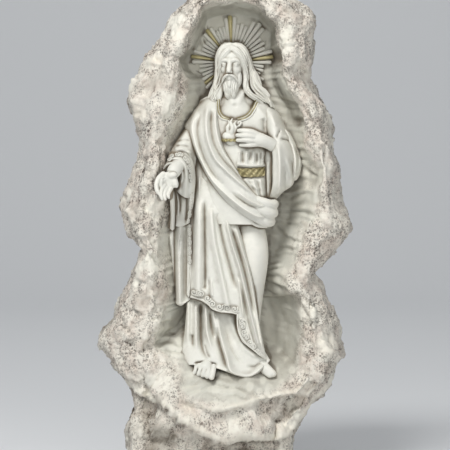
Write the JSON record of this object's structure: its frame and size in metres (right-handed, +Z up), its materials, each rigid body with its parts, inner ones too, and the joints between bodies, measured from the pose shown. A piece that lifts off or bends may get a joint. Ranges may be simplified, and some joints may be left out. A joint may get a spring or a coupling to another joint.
{
  "type": "religious statuette in a rock niche",
  "caption": "Robed, bearded holy figure with a ray halo and a heart on the breast, standing in a rough rock niche on a lipped rock base, cast in one piece.",
  "frame": {"origin": "on the flat underside, below the middle of the rock", "axes": "+Z up, the figure faces -Y, and +X is at the viewer's right"},
  "size_m": [0.257, 0.1243, 0.5],
  "materials": {
    "cast_stone": "matt, antiqued ivory with brown wash in the hollows",
    "gold_paint": "dull antique gold paint on belt, collar, thorns and rays"
  },
  "bodies": {
    "root": {"statuette": "cast_stone"}
  },
  "joints": []
}
